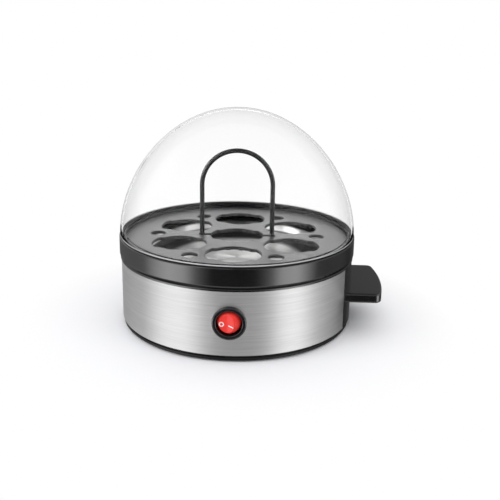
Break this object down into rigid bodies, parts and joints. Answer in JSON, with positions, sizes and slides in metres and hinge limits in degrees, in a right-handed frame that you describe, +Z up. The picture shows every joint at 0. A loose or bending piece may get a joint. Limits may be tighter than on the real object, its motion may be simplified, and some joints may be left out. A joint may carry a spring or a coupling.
{
  "type": "electric egg cooker",
  "caption": "Round countertop egg steamer with a clear dome lid, lift-out egg rack with bail, steel-banded base with side handle, heating plate and rocker switch.",
  "frame": {"origin": "on the axis of the round body, at the level of the table that the feet stand on", "axes": "+Z up along the body's axis, the rocker switch faces -Y, the side handle points along +X"},
  "size_m": [0.202, 0.1839, 0.1635],
  "materials": {
    "black_plastic": "satin moulded",
    "rack_plastic": "satin moulded",
    "clear_plastic": "clear polished",
    "brushed_steel": "brushed round the body",
    "plate_steel": "brushed in circles",
    "plated_steel": "zinc plated",
    "element_metal": "dull drawn tube",
    "brass": "pressed",
    "silicone": "soft moulded",
    "ceramic_white": "matt",
    "sleeve_white": "woven glass sleeve",
    "bezel_black": "glossy moulded",
    "rocker_red": "translucent red",
    "block_white": "matt moulded",
    "black_rubber": "matt",
    "lead_brown": "insulated wire",
    "lead_blue": "insulated wire",
    "lead_green": "insulated wire",
    "lead_white": "insulated wire"
  },
  "bodies": {
    "base": {"bottom_cover": "black_plastic", "clamp_nuts": "plated_steel", "clamp_washers": "plated_steel", "cord_gland": "black_rubber", "cover_screws": "plated_steel", "earth_lead": "lead_green", "earth_tag": "brass", "element_lead": "lead_white", "element_pins": "plated_steel", "fuse_clip": "plated_steel", "fuse_lead": "lead_white", "handle": "black_plastic", "handle_screws": "plated_steel", "heating_element": "element_metal", "heating_plate": "plate_steel", "housing": "black_plastic", "live_lead": "lead_brown", "neutral_lead": "lead_blue", "plate_clamps": "plated_steel", "plate_seal": "silicone", "push_on_connectors": "brass", "rubber_feet": "black_rubber", "steel_band": "brushed_steel", "strap_nuts": "plated_steel", "switch_body": "bezel_black", "switch_tabs": "brass", "switched_lead": "lead_brown", "terminal_block": "block_white", "terminal_screws": "brass", "thermal_fuse": "sleeve_white", "thermostat": "ceramic_white", "thermostat_strap": "plated_steel", "thermostat_tabs": "brass"},
    "lid": {"dome_lid": "clear_plastic"},
    "rack": {"egg_rack": "rack_plastic", "rack_bail": "rack_plastic"},
    "rocker": {"switch_rocker": "rocker_red"}
  },
  "joints": [
    {"name": "rack_lift", "type": "slide", "parent": "base", "child": "rack", "axis": [0, 0, 1], "range_m": [0, 0.06]},
    {"name": "lid_lift", "type": "slide", "parent": "rack", "child": "lid", "axis": [0, 0, 1], "range_m": [0, 0.09]},
    {"name": "rocker_tip", "type": "hinge", "parent": "base", "child": "rocker", "pos_m": [0, -0.0854, 0.0296], "axis": [0, 0, 1], "range_deg": [0, 30]}
  ]
}
